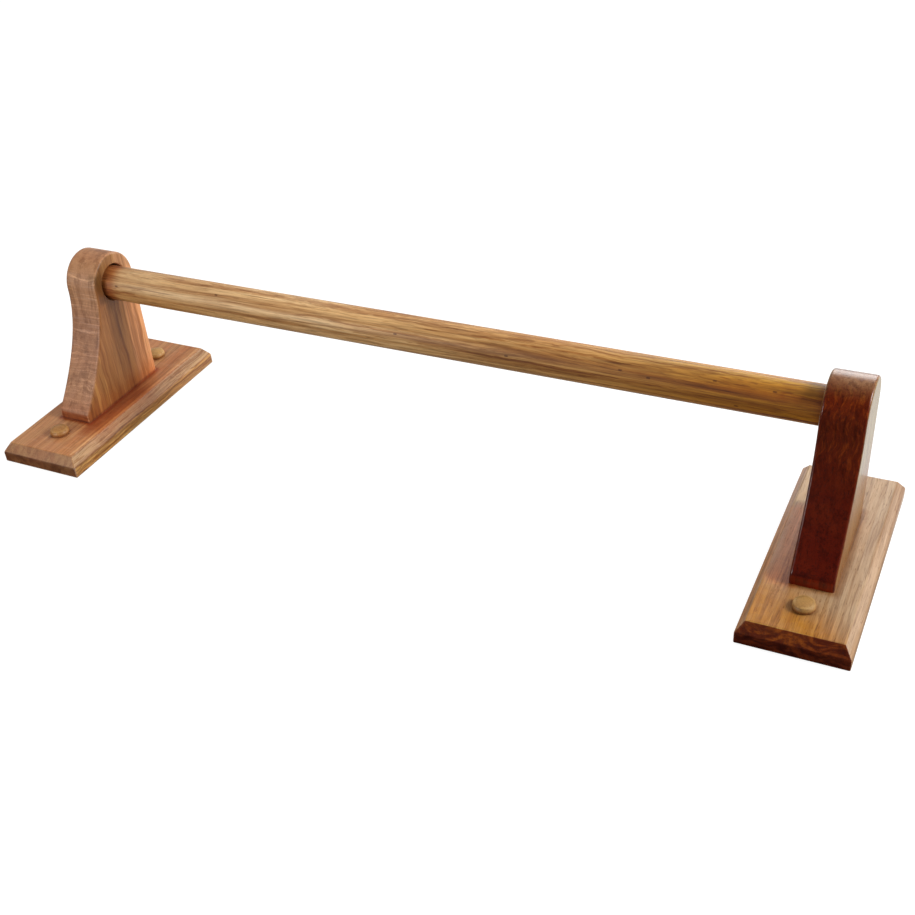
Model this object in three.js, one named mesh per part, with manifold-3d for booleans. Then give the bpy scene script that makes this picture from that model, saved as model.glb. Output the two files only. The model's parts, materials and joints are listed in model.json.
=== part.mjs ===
// A wooden towel bar, in millimetres: a round rail held loosely between two brackets.
// Each bracket is an upright arm screwed to a bevelled wall plate, and cover buttons close its wall-screw holes.
// X runs along the rail, +Y is up on the wall and +Z points out of the wall, whose face is z = 0.
// The origin lies on the wall, midway between the brackets and midway along the wall plates.

import * as THREE from 'three';
import { mergeVertices } from 'three/addons/utils/BufferGeometryUtils.js';
import Module from 'manifold-3d';

const wasm = await Module();
wasm.setup();

// Brackets: centre to centre along the rail
const bracketSpacing = 550;

// Wall plates, with a bevel and mitred corners all round the face that looks out of the wall
const plateWidth = 67;
const plateLength = 175;
const plateThickness = 15;
const bevelWidth = 7;
const bevelDepth = 7;

// Arms: sawn from one board, with a flared foot edge, a straight back edge and a round head
const armThickness = 27;
const footLength = 84;
const footStep = 7;
const footRound = 2.5;
const headRadius = 22;
const headHeight = 103;
const flareKneeShare = 0.57;
const armEase = 1.8;

// Rail and the blind sockets that its ends lie in
const railDiameter = 25;
const railEndChamfer = 1;
const railEndPlay = 0.5;
const socketDepth = 14;
const socketPlay = 2;

// Cover buttons: a domed cap on a tenon. The share is the way out from the arm's foot to the plate's end.
const buttonPlaceShare = 0.4;
const buttonDiameter = 14;
const buttonRim = 3.4;
const buttonDome = 1.4;
const buttonEase = 0.5;
const tenonDiameter = 9.4;
const tenonLength = 6;
const tenonChamfer = 0.8;

// Wall-screw holes below the buttons
const wallScrewHole = 5;
const counterboreSpare = 1.5;

// Countersunk screws that hold the arm, driven from the back of the plate and placed from the arm's foot ends
const armScrewEndMargin = 20;
const armScrewLength = 38;
const armScrewHead = 8;
const armScrewRim = 0.5;
const armScrewShank = 4;
const armScrewCore = 3;
const armScrewPoint = 4;
const armScrewRecess = 0.5;
const driveWidth = 1.1;
const driveSpan = 4.4;
const driveDepth = 1.8;

// Clearances: between pieces that seat on each other, and past a face that a cut goes through
const seatGap = 0.3;
const cutOverrun = 2;

// Facet counts
const railSides = 64;
const holeSides = 32;
const buttonSides = 40;
const screwSides = 24;
const domeSteps = 6;
const curveSteps = 24;
const easeSteps = 2;

// Finishes
const finishes = {
  railOak: new THREE.MeshStandardMaterial({ color: 0xc99a5e, roughness: 0.45, metalness: 0 }),
  armOak: new THREE.MeshStandardMaterial({ color: 0xb0794e, roughness: 0.5, metalness: 0 }),
  plateOak: new THREE.MeshStandardMaterial({ color: 0xb98253, roughness: 0.5, metalness: 0 }),
  buttonWood: new THREE.MeshStandardMaterial({ color: 0xc4a36c, roughness: 0.45, metalness: 0 }),
  zincSteel: new THREE.MeshStandardMaterial({ color: 0xb9b6ac, roughness: 0.35, metalness: 0.9 }),
};

// Places worked out from the sizes above
const headY = footLength / 2 - headRadius;
const stepTop = plateThickness + footStep;
const buttonSpacing = footLength + buttonPlaceShare * (plateLength - footLength);
const armScrewSpacing = footLength - 2 * armScrewEndMargin;
const socketRadius = (railDiameter + socketPlay) / 2;
const railDrop = socketPlay / 2 - seatGap;
const railHeight = headHeight - railDrop;
const railLength = bracketSpacing - armThickness + 2 * (socketDepth - railEndPlay);
const counterboreDepth = tenonLength + counterboreSpare;

function solidOf(geometry) {
  const closed = geometry.clone();
  closed.deleteAttribute('normal');
  closed.deleteAttribute('uv');
  const merged = mergeVertices(closed);
  return new wasm.Manifold(new wasm.Mesh({
    numProp: 3,
    vertProperties: new Float32Array(merged.attributes.position.array),
    triVerts: new Uint32Array(merged.index.array),
  }));
}

function geometryOf(solid) {
  const mesh = solid.getMesh();
  const geometry = new THREE.BufferGeometry();
  geometry.setAttribute('position', new THREE.BufferAttribute(new Float32Array(mesh.vertProperties), 3));
  geometry.setIndex(new THREE.BufferAttribute(new Uint32Array(mesh.triVerts), 1));
  geometry.computeVertexNormals();
  return geometry;
}

function cutFrom(geometry, cutters) {
  return geometryOf(cutters.reduce((rest, cutter) => rest.subtract(solidOf(cutter)), solidOf(geometry)));
}

// A turned shape about Z, from [radius, height] pairs that run upwards from axis to axis
function turned(pairs, sides) {
  const points = pairs.map(([radius, height]) => new THREE.Vector2(radius, height));
  return new THREE.LatheGeometry(points, sides).rotateX(Math.PI / 2);
}

// A flat board with its upper edges bevelled: a box whose top ring is drawn in and whose middle ring is raised
function plateBlank() {
  const blank = new THREE.BoxGeometry(plateWidth, plateLength, plateThickness, 1, 1, 2);
  const place = blank.attributes.position;
  for (let i = 0; i < place.count; i += 1) {
    const level = Math.round(2 * place.getZ(i) / plateThickness);
    const inset = level === 1 ? bevelWidth : 0;
    const height = [0, plateThickness - bevelDepth, plateThickness][level + 1];
    place.setXYZ(
      i,
      place.getX(i) - Math.sign(place.getX(i)) * inset,
      place.getY(i) - Math.sign(place.getY(i)) * inset,
      height,
    );
  }
  return blank;
}

// Stepped hole for a wall screw, with the counterbore that its cover button plugs
function wallScrewCutter(y) {
  const counterbore = tenonDiameter / 2 + seatGap;
  const floor = plateThickness - counterboreDepth;
  return turned([
    [0, -cutOverrun],
    [wallScrewHole / 2, -cutOverrun],
    [wallScrewHole / 2, floor],
    [counterbore, floor],
    [counterbore, plateThickness + cutOverrun],
    [0, plateThickness + cutOverrun],
  ], holeSides).translate(0, y, 0);
}

// Countersunk wood screw, standing head down, and grown all round by a clearance where it serves as a cutter
function screwOutline(clearance) {
  const head = armScrewHead / 2;
  const shank = armScrewShank / 2;
  const core = armScrewCore / 2;
  const underHead = armScrewRecess + armScrewRim;
  const tip = armScrewRecess + armScrewLength;
  const bottom = clearance > 0 ? -cutOverrun : armScrewRecess;
  return [
    [0, bottom],
    [head + clearance, bottom],
    [head + clearance, underHead],
    [shank + clearance, underHead + head - shank],
    [shank + clearance, plateThickness],
    [core + clearance, plateThickness + shank - core],
    [core + clearance, tip - armScrewPoint],
    [0, tip + clearance],
  ];
}

function armScrewCutter(y) {
  return turned(screwOutline(seatGap), holeSides).translate(0, y, 0);
}

function armScrew() {
  const blank = turned(screwOutline(0), screwSides);
  const slots = [0, Math.PI / 2].map((turn) => new THREE.BoxGeometry(driveSpan, driveWidth, 2 * driveDepth)
    .rotateZ(turn)
    .translate(0, 0, armScrewRecess));
  return cutFrom(blank, slots);
}

function wallPlate() {
  const halves = [-1, 1];
  const wallHoles = halves.map((side) => wallScrewCutter(side * buttonSpacing / 2));
  const armHoles = halves.map((side) => armScrewCutter(side * armScrewSpacing / 2));
  return cutFrom(plateBlank(), [...wallHoles, ...armHoles]);
}

// The board's outline in Y and Z. Below the plate's face it runs on, to be sawn off square.
function armOutline() {
  const foot = footLength / 2;
  const neck = headY - headRadius;
  const sawn = plateThickness - armEase - cutOverrun;
  const knee = stepTop + flareKneeShare * (headHeight - stepTop);
  const flareSlope = (knee - stepTop) / (neck + foot);
  const outline = new THREE.Shape();
  outline.moveTo(foot, sawn);
  outline.lineTo(foot, headHeight);
  outline.absarc(headY, headHeight, headRadius, 0, Math.PI, false);
  outline.quadraticCurveTo(neck, knee, footRound - foot, stepTop + footRound * flareSlope);
  outline.quadraticCurveTo(-foot, stepTop, -foot, stepTop - footRound);
  outline.lineTo(-foot, sawn);
  outline.closePath();
  return outline;
}

// An arm about its own middle plane. Its socket opens towards inward, which is 1 or -1 along X.
function arm(inward) {
  const board = new THREE.ExtrudeGeometry(armOutline(), {
    depth: armThickness - 2 * armEase,
    curveSegments: curveSteps,
    bevelEnabled: true,
    bevelThickness: armEase,
    bevelSize: armEase,
    bevelOffset: -armEase,
    bevelSegments: easeSteps,
  });
  board.translate(0, 0, armEase - armThickness / 2);
  board.applyMatrix4(new THREE.Matrix4().makeBasis(
    new THREE.Vector3(0, 1, 0),
    new THREE.Vector3(0, 0, 1),
    new THREE.Vector3(1, 0, 0),
  ));
  const offcutHeight = plateThickness + cutOverrun;
  const offcut = new THREE.BoxGeometry(armThickness + cutOverrun, footLength + cutOverrun, offcutHeight)
    .translate(0, 0, plateThickness - offcutHeight / 2);
  const boreLength = socketDepth + cutOverrun;
  const socket = new THREE.CylinderGeometry(socketRadius, socketRadius, boreLength, railSides)
    .rotateZ(Math.PI / 2)
    .translate(inward * (armThickness / 2 - socketDepth + boreLength / 2), headY, headHeight);
  const pilots = [-1, 1].map((side) => armScrewCutter(side * armScrewSpacing / 2));
  return cutFrom(board, [offcut, socket, ...pilots]);
}

function rail() {
  const radius = railDiameter / 2;
  const half = railLength / 2;
  return turned([
    [0, -half],
    [radius - railEndChamfer, -half],
    [radius, railEndChamfer - half],
    [radius, half - railEndChamfer],
    [radius - railEndChamfer, half],
    [0, half],
  ], railSides).rotateY(Math.PI / 2);
}

// A cover button about its own axis, with the underside of its cap at height 0
function coverButton() {
  const cap = buttonDiameter / 2;
  const tenon = tenonDiameter / 2;
  const domeRadius = (cap * cap + buttonDome * buttonDome) / (2 * buttonDome);
  const dome = Array.from({ length: domeSteps + 1 }, (_, step) => {
    const radius = cap * (1 - step / domeSteps);
    const drop = domeRadius - Math.sqrt(domeRadius * domeRadius - radius * radius);
    return [radius, buttonRim + buttonDome - drop];
  });
  return turned([
    [0, -tenonLength],
    [tenon - tenonChamfer, -tenonLength],
    [tenon, tenonChamfer - tenonLength],
    [tenon, 0],
    [cap - buttonEase, 0],
    [cap, buttonEase],
    ...dome,
  ], buttonSides);
}

function named(name, geometry, finish, x, y, z) {
  const mesh = new THREE.Mesh(geometry, finish.clone());
  mesh.name = name;
  mesh.position.set(x, y, z);
  return mesh;
}

// One bracket: side is -1 for the left one and 1 for the right one
function bracket(label, side) {
  const group = new THREE.Group();
  group.position.x = side * bracketSpacing / 2;
  group.add(named(`${label}_wall_plate`, wallPlate(), finishes.plateOak, 0, 0, 0));
  group.add(named(`${label}_arm`, arm(-side), finishes.armOak, 0, 0, 0));
  for (const [place, up] of [['lower', -1], ['upper', 1]]) {
    const screwY = up * armScrewSpacing / 2;
    const buttonY = up * buttonSpacing / 2;
    const capSeat = plateThickness + seatGap;
    group.add(named(`${label}_${place}_arm_screw`, armScrew(), finishes.zincSteel, 0, screwY, 0));
    group.add(named(`${label}_${place}_cover_button`, coverButton(), finishes.buttonWood, 0, buttonY, capSeat));
  }
  return group;
}

const towelBar = new THREE.Group();
towelBar.add(bracket('left', -1));
towelBar.add(bracket('right', 1));
towelBar.add(named('rail', rail(), finishes.railOak, 0, headY, railHeight));

export default towelBar;
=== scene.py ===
import json
import math

import bmesh
import bpy
from mathutils import Euler, Matrix, Vector

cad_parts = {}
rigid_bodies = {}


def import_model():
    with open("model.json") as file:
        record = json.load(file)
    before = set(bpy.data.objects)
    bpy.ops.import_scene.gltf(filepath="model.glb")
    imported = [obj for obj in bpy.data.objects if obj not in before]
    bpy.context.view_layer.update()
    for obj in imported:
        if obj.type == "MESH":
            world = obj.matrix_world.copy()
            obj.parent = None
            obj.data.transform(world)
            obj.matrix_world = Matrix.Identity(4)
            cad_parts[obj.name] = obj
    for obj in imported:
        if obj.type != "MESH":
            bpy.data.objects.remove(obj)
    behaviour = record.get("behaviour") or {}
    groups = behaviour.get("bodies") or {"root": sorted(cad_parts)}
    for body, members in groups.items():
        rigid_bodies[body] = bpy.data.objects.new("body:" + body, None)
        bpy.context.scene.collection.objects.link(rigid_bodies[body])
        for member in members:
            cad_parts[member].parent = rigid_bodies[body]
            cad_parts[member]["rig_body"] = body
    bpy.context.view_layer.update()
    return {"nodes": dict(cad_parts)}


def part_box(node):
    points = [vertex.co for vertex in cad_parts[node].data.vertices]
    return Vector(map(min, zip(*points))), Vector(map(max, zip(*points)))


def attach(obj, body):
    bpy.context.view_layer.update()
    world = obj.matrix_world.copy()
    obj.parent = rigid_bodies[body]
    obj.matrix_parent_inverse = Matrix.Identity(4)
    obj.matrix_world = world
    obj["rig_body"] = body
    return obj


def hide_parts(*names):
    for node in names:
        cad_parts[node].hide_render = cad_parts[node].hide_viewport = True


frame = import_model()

# A wooden towel bar in metres, lying on the backs of its wall plates as it would hang on a wall.
# X runs along the rail, +Y is up on the wall and +Z points out of it.

# Sizes read from the frame
plate_low, plate_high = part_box("left_wall_plate")
arm_low, arm_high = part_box("left_arm")
rail_low, rail_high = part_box("rail")
button_low, button_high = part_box("left_lower_cover_button")
screw_low, screw_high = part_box("left_lower_arm_screw")

PLATE_WIDTH = plate_high.x - plate_low.x
PLATE_LENGTH = plate_high.y - plate_low.y
PLATE_THICKNESS = plate_high.z
BRACKET_X = -(plate_low.x + plate_high.x) / 2
ARM_THICKNESS = arm_high.x - arm_low.x
FOOT = arm_high.y
HEAD_TOP = arm_high.z
RAIL_RADIUS = (rail_high.y - rail_low.y) / 2
RAIL_Y = (rail_low.y + rail_high.y) / 2
RAIL_Z = (rail_low.z + rail_high.z) / 2
RAIL_HALF = rail_high.x
BUTTON_Y = -(button_low.y + button_high.y) / 2
BUTTON_RADIUS = (button_high.y - button_low.y) / 2
SCREW_Y = -(screw_low.y + screw_high.y) / 2
SCREW_HEAD = (screw_high.x - screw_low.x) / 2

# Shapes of the boards
PLATE_BEVEL = 0.007
PLATE_EASE = 0.0008
HEAD_RADIUS = 0.022
HEAD_Y = FOOT - HEAD_RADIUS
HEAD_Z = HEAD_TOP - HEAD_RADIUS
FOOT_STEP = 0.007
FOOT_ROUND = 0.0025
STEP_Z = PLATE_THICKNESS + FOOT_STEP
FLARE_KNEE_SHARE = 0.57
ARM_EASE = 0.0018

# Socket and rail
SOCKET_RADIUS = 0.0135
SOCKET_DEPTH = 0.014
SOCKET_EASE = 0.0007
BIT_MARK = 0.0012
RAIL_CHAMFER = 0.001

# Cover buttons and the stepped holes that they plug
BUTTON_GAP = 0.0003
BUTTON_SEAT = PLATE_THICKNESS + BUTTON_GAP
BUTTON_RIM = 0.0034
BUTTON_DOME = 0.0014
BUTTON_EASE = 0.0009
BUTTON_ROUND = 0.0022
TENON_RADIUS = 0.0047
TENON_LENGTH = 0.006
COUNTERBORE_RADIUS = 0.005
COUNTERBORE_DEPTH = 0.0075
WALL_SCREW_RADIUS = 0.0025

# Countersunk wood screws that hold the arms
SCREW_SEAT = screw_low.z
SCREW_TIP = screw_high.z
SCREW_RIM = 0.0005
SCREW_SHANK = 0.002
SCREW_CORE = 0.0015
SCREW_POINT = 0.004
SCREW_GAP = 0.0003
DRIVE_SPAN = 0.0044
DRIVE_WIDTH = 0.0011
DRIVE_DEPTH = 0.0018

# How fine the round forms are
EASE_STEPS = 3
BOARD_EASE_STEPS = 4
BUTTON_ROUND_STEPS = 6
DOME_STEPS = 10
OUTLINE_STEPS = 28
SCREW_SIDES = 48
BUTTON_SIDES = 64
SOCKET_SIDES = 96
RAIL_SIDES = 128
SMOOTH_ANGLE = math.radians(38)

# How far a cut runs past the face that it opens, and how near two points are one
OVERRUN = 0.002
WELD = 0.000001

# Directions, a quarter turn, and the two ends of a plate: lower and upper
ORIGIN = (0, 0, 0)
ALONG = (1, 0, 0)
LEFTWARD = (-1, 0, 0)
UP = (0, 1, 0)
OUT = (0, 0, 1)
INWARD = (0, 0, -1)
QUARTER = math.pi / 2
ENDS = (-1, 1)


# Mesh making

def moved(bm, place):
    """Shifts the whole bmesh."""
    bmesh.ops.translate(bm, vec=place, verts=bm.verts)


def rotated(bm, angle, axis):
    """Turns the whole bmesh about an axis through the origin."""
    bmesh.ops.rotate(bm, cent=ORIGIN, matrix=Matrix.Rotation(angle, 3, axis), verts=bm.verts)


def closed(bm):
    """Merges the seam and the poles that turning a form leaves, and turns its faces outwards."""
    bmesh.ops.remove_doubles(bm, verts=bm.verts, dist=WELD)
    bmesh.ops.recalc_face_normals(bm, faces=bm.faces)


def mesh_object(bm, name):
    """Closes the bmesh's seams, turns its faces outwards and makes it an object at the origin."""
    closed(bm)
    mesh = bpy.data.meshes.new(name)
    bm.to_mesh(mesh)
    bm.free()
    piece = bpy.data.objects.new(name, mesh)
    bpy.context.scene.collection.objects.link(piece)
    return piece


def block(size, centre):
    """A square block as a bmesh."""
    bm = bmesh.new()
    bmesh.ops.create_cube(bm, size=1)
    bmesh.ops.scale(bm, vec=size, verts=bm.verts)
    moved(bm, centre)
    return bm


def chain(bm, pairs):
    """A half outline of (radius, height) pairs, from the axis round to the axis."""
    verts = [bm.verts.new((radius, 0, height)) for radius, height in pairs]
    for pair in zip(verts, verts[1:]):
        bm.edges.new(pair)
    return verts


def spin_whole(bm, sides):
    """Turns all that the bmesh holds once round Z."""
    bmesh.ops.spin(
        bm,
        geom=bm.verts[:] + bm.edges[:],
        cent=ORIGIN,
        axis=OUT,
        angle=math.tau,
        steps=sides,
        use_merge=True,
    )
    closed(bm)


def turned(pairs, sides):
    """A turned shape about Z as a bmesh."""
    bm = bmesh.new()
    chain(bm, pairs)
    spin_whole(bm, sides)
    return bm


def ease(bm, edges, offset, segments):
    """Rounds the edges."""
    bmesh.ops.bevel(
        bm, geom=edges, offset=offset, segments=segments, profile=0.5, affect="EDGES", material=-1
    )


def ease_ring(bm, radius, height, offset, segments):
    """Rounds the ring edge that lies at that radius and height."""
    def on_ring(vert):
        at_radius = abs(math.hypot(vert.co.x, vert.co.y) - radius) < WELD
        return at_radius and abs(vert.co.z - height) < WELD

    ease(bm, [edge for edge in bm.edges if all(on_ring(vert) for vert in edge.verts)], offset, segments)


def cut(piece, cutters):
    """Cuts the cutters out of the piece and removes them."""
    for cutter in cutters:
        step = piece.modifiers.new("cut", "BOOLEAN")
        step.object = cutter
        step.operation = "DIFFERENCE"
        step.solver = "EXACT"
    graph = bpy.context.evaluated_depsgraph_get()
    mesh = bpy.data.meshes.new_from_object(piece.evaluated_get(graph))
    mesh.name = piece.name
    piece.modifiers.clear()
    piece.data = mesh
    for cutter in cutters:
        bpy.data.objects.remove(cutter)


def dress(piece, node, material):
    """Smooths the piece, gives it its finish and stands it in for its CAD node."""
    piece.data.shade_smooth()
    piece.data.set_sharp_from_angle(angle=SMOOTH_ANGLE)
    weighted = piece.modifiers.new("flat_faces_stay_flat", "WEIGHTED_NORMAL")
    weighted.keep_sharp = True
    piece.data.materials.clear()
    piece.data.materials.append(material)
    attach(piece, frame["nodes"][node]["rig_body"])
    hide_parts(node)


# Wall plates

def plate_blank(name):
    """A board whose outward edges are bevelled, with mitred corners."""
    lower = PLATE_THICKNESS - PLATE_BEVEL
    bm = block((PLATE_WIDTH, PLATE_LENGTH, lower), (0, 0, lower / 2))
    top = max(bm.faces, key=lambda face: face.calc_center_median().z)
    bmesh.ops.inset_region(bm, faces=[top], thickness=PLATE_BEVEL, depth=PLATE_BEVEL)
    ease(bm, bm.edges[:], PLATE_EASE, EASE_STEPS)
    return mesh_object(bm, name)


def wall_screw_cutter(y):
    """The stepped hole for a wall screw, which a cover button closes."""
    step = PLATE_THICKNESS - COUNTERBORE_DEPTH
    bm = turned([
        (0, -OVERRUN),
        (WALL_SCREW_RADIUS, -OVERRUN),
        (WALL_SCREW_RADIUS, step),
        (COUNTERBORE_RADIUS, step),
        (COUNTERBORE_RADIUS, PLATE_THICKNESS + OVERRUN),
        (0, PLATE_THICKNESS + OVERRUN),
    ], SCREW_SIDES)
    moved(bm, (0, y, 0))
    return mesh_object(bm, "wall_screw_hole")


def screw_outline(gap):
    """Half the outline of a countersunk screw, or of its hole where it is given a gap."""
    under_head = SCREW_SEAT + SCREW_RIM
    bottom = -OVERRUN if gap else SCREW_SEAT
    return [
        (0, bottom),
        (SCREW_HEAD + gap, bottom),
        (SCREW_HEAD + gap, under_head),
        (SCREW_SHANK + gap, under_head + SCREW_HEAD - SCREW_SHANK),
        (SCREW_SHANK + gap, PLATE_THICKNESS),
        (SCREW_CORE + gap, PLATE_THICKNESS + SCREW_SHANK - SCREW_CORE),
        (SCREW_CORE + gap, SCREW_TIP - SCREW_POINT),
        (0, SCREW_TIP + gap),
    ]


def arm_screw_cutter(y):
    """The countersunk hole through the plate and the pilot hole in the arm."""
    bm = turned(screw_outline(SCREW_GAP), SCREW_SIDES)
    moved(bm, (0, y, 0))
    return mesh_object(bm, "arm_screw_hole")


def wall_plate(side, sign, material):
    """A wall plate with its two wall-screw holes and its two arm-screw holes."""
    piece = plate_blank(f"{side}_plate_board")
    wall_holes = [wall_screw_cutter(end * BUTTON_Y) for end in ENDS]
    arm_holes = [arm_screw_cutter(end * SCREW_Y) for end in ENDS]
    cut(piece, wall_holes + arm_holes)
    piece.data.transform(Matrix.Translation((sign * BRACKET_X, 0, 0)))
    dress(piece, f"{side}_wall_plate", material)


# Arms

def arm_outline():
    """The arm's outline as a flat closed curve: foot step, flare, round head and straight back edge."""
    knee = STEP_Z + FLARE_KNEE_SHARE * (HEAD_Z - STEP_Z)
    bend = Vector((HEAD_Y - HEAD_RADIUS, knee, 0))
    quarter = HEAD_RADIUS * 4 / 3 * (math.sqrt(2) - 1)
    toe = Vector((-FOOT, PLATE_THICKNESS, 0))
    corner = Vector((-FOOT, STEP_Z, 0))
    slope = (knee - STEP_Z) / (HEAD_Y - HEAD_RADIUS + FOOT)
    step = corner - Vector((0, FOOT_ROUND, 0))
    flare = corner + FOOT_ROUND * Vector((1, slope, 0))
    neck = Vector((HEAD_Y - HEAD_RADIUS, HEAD_Z, 0))
    crown = Vector((HEAD_Y, HEAD_TOP, 0))
    nape = Vector((FOOT, HEAD_Z, 0))
    heel = Vector((FOOT, PLATE_THICKNESS, 0))
    across = Vector((quarter, 0, 0))
    upright = Vector((0, quarter, 0))
    to_bend = 2 / 3
    points = [
        (toe, toe, toe),
        (step, step, step.lerp(corner, to_bend)),
        (flare, flare.lerp(corner, to_bend), flare.lerp(bend, to_bend)),
        (neck, neck.lerp(bend, to_bend), neck + upright),
        (crown, crown - across, crown + across),
        (nape, nape + upright, nape),
        (heel, heel, heel),
    ]
    curve = bpy.data.curves.new("arm_outline", "CURVE")
    curve.dimensions = "2D"
    curve.fill_mode = "NONE"
    curve.resolution_u = OUTLINE_STEPS
    spline = curve.splines.new("BEZIER")
    spline.bezier_points.add(len(points) - 1)
    spline.use_cyclic_u = True
    for knot, (place, before, after) in zip(spline.bezier_points, points):
        knot.handle_left_type = "FREE"
        knot.handle_right_type = "FREE"
        knot.co = place
        knot.handle_left = before
        knot.handle_right = after
    return curve


def arm_board(name):
    """The board sawn to its outline, with both rims eased, lying in the frame's YZ plane."""
    curve = arm_outline()
    drawn = bpy.data.objects.new("arm_outline", curve)
    bm = bmesh.new()
    mesh = drawn.to_mesh()
    bm.from_mesh(mesh)
    drawn.to_mesh_clear()
    bpy.data.objects.remove(drawn)
    bpy.data.curves.remove(curve)
    bmesh.ops.remove_doubles(bm, verts=bm.verts, dist=WELD)
    side = bmesh.ops.contextual_create(bm, geom=bm.edges[:])["faces"]
    grown = bmesh.ops.extrude_face_region(bm, geom=side)["geom"]
    new_verts = [item for item in grown if isinstance(item, bmesh.types.BMVert)]
    bmesh.ops.translate(bm, vec=(0, 0, ARM_THICKNESS), verts=new_verts)
    moved(bm, (0, 0, -ARM_THICKNESS / 2))
    turn = Matrix(((0, 0, 1), (1, 0, 0), (0, 1, 0)))
    bmesh.ops.transform(bm, matrix=turn.to_4x4(), verts=bm.verts)
    bmesh.ops.recalc_face_normals(bm, faces=bm.faces)

    def on_rim(edge):
        flat = all(abs(abs(vert.co.x) - ARM_THICKNESS / 2) < WELD for vert in edge.verts)
        same_side = edge.verts[0].co.x * edge.verts[1].co.x > 0
        on_plate = all(abs(vert.co.z - PLATE_THICKNESS) < WELD for vert in edge.verts)
        return flat and same_side and not on_plate

    ease(bm, [edge for edge in bm.edges if on_rim(edge)], ARM_EASE, BOARD_EASE_STEPS)
    return mesh_object(bm, name)


def socket_cutter(inward):
    """The blind socket with its rim eased and the mark of the bit's point in its bottom."""
    mouth = ARM_THICKNESS / 2
    bottom = mouth - SOCKET_DEPTH
    bm = turned([
        (0, bottom - BIT_MARK),
        (BIT_MARK, bottom),
        (SOCKET_RADIUS, bottom),
        (SOCKET_RADIUS, mouth - SOCKET_EASE),
        (SOCKET_RADIUS + SOCKET_EASE, mouth),
        (SOCKET_RADIUS + SOCKET_EASE, mouth + OVERRUN),
        (0, mouth + OVERRUN),
    ], SOCKET_SIDES)
    rotated(bm, inward * QUARTER, "Y")
    moved(bm, (0, HEAD_Y, HEAD_Z))
    return mesh_object(bm, "socket")


def arm(side, sign, material):
    """An arm with the rail's socket in its inner face and two pilot holes in its foot."""
    piece = arm_board(f"{side}_arm_board")
    pilots = [arm_screw_cutter(end * SCREW_Y) for end in ENDS]
    cut(piece, [socket_cutter(-sign)] + pilots)
    piece.data.transform(Matrix.Translation((sign * BRACKET_X, 0, 0)))
    dress(piece, f"{side}_arm", material)


# Rail

def rail(material):
    """The round rail with its ends eased."""
    bm = turned([
        (0, -RAIL_HALF),
        (RAIL_RADIUS, -RAIL_HALF),
        (RAIL_RADIUS, RAIL_HALF),
        (0, RAIL_HALF),
    ], RAIL_SIDES)
    for end in (-RAIL_HALF, RAIL_HALF):
        ease_ring(bm, RAIL_RADIUS, end, RAIL_CHAMFER, BOARD_EASE_STEPS)
    rotated(bm, QUARTER, "Y")
    moved(bm, (0, RAIL_Y, RAIL_Z))
    dress(mesh_object(bm, "rail_dowel"), "rail", material)


# Cover buttons

def cover_button(side, sign, place, up, material):
    """A domed cap on a tenon. The dome is swung up from the rim about its own centre."""
    swing = (BUTTON_RADIUS ** 2 + BUTTON_DOME ** 2) / (2 * BUTTON_DOME)
    reach = math.asin(BUTTON_RADIUS / swing)
    bm = bmesh.new()
    verts = chain(bm, [
        (0, -TENON_LENGTH),
        (TENON_RADIUS, -TENON_LENGTH),
        (TENON_RADIUS, 0),
        (BUTTON_RADIUS, 0),
        (BUTTON_RADIUS, BUTTON_RIM),
    ])
    centre = (0, 0, BUTTON_RIM + BUTTON_DOME - swing)
    bmesh.ops.spin(bm, geom=[verts[-1]], cent=centre, axis=(0, -1, 0), angle=reach, steps=DOME_STEPS)
    spin_whole(bm, BUTTON_SIDES)
    ease_ring(bm, TENON_RADIUS, -TENON_LENGTH, BUTTON_EASE, EASE_STEPS)
    ease_ring(bm, BUTTON_RADIUS, 0, BUTTON_EASE / 2, EASE_STEPS)
    ease_ring(bm, BUTTON_RADIUS, BUTTON_RIM, BUTTON_ROUND, BUTTON_ROUND_STEPS)
    moved(bm, (sign * BRACKET_X, up * BUTTON_Y, BUTTON_SEAT))
    piece = mesh_object(bm, f"{side}_{place}_button")
    dress(piece, f"{side}_{place}_cover_button", material)


# Screws

def arm_screw(side, sign, place, up, material):
    """A countersunk wood screw, head down, with a cross recess."""
    piece = mesh_object(turned(screw_outline(0), SCREW_SIDES), f"{side}_{place}_screw")
    slots = []
    for turn in (0, QUARTER):
        bm = block((DRIVE_SPAN, DRIVE_WIDTH, 2 * DRIVE_DEPTH), (0, 0, SCREW_SEAT))
        rotated(bm, turn, "Z")
        slots.append(mesh_object(bm, "slot"))
    cut(piece, slots)
    piece.data.transform(Matrix.Translation((sign * BRACKET_X, up * SCREW_Y, 0)))
    dress(piece, f"{side}_{place}_arm_screw", material)


# Shader making

def feed(tree, socket, given):
    """Links a socket to another, or sets its own value."""
    if isinstance(given, bpy.types.NodeSocket):
        tree.links.new(given, socket)
    else:
        socket.default_value = given


def sums(tree, operation, *terms):
    """One operation on numbers."""
    made = tree.nodes.new("ShaderNodeMath")
    made.operation = operation
    for socket, term in zip(made.inputs, terms):
        feed(tree, socket, term)
    return made.outputs[0]


def vectors(tree, operation, *terms, result=0):
    """One operation on places, directions or colours."""
    made = tree.nodes.new("ShaderNodeVectorMath")
    made.operation = operation
    for socket, term in zip(made.inputs, terms):
        feed(tree, socket, term)
    return made.outputs[result]


def length(tree, vector):
    """How long a vector is."""
    return vectors(tree, "LENGTH", vector, result=1)


def dot(tree, one, other):
    """The dot product."""
    return vectors(tree, "DOT_PRODUCT", one, other, result=1)


def combined(tree, *parts):
    """Three numbers as one vector."""
    made = tree.nodes.new("ShaderNodeCombineXYZ")
    for socket, part in zip(made.inputs, parts):
        feed(tree, socket, part)
    return made.outputs[0]


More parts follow.
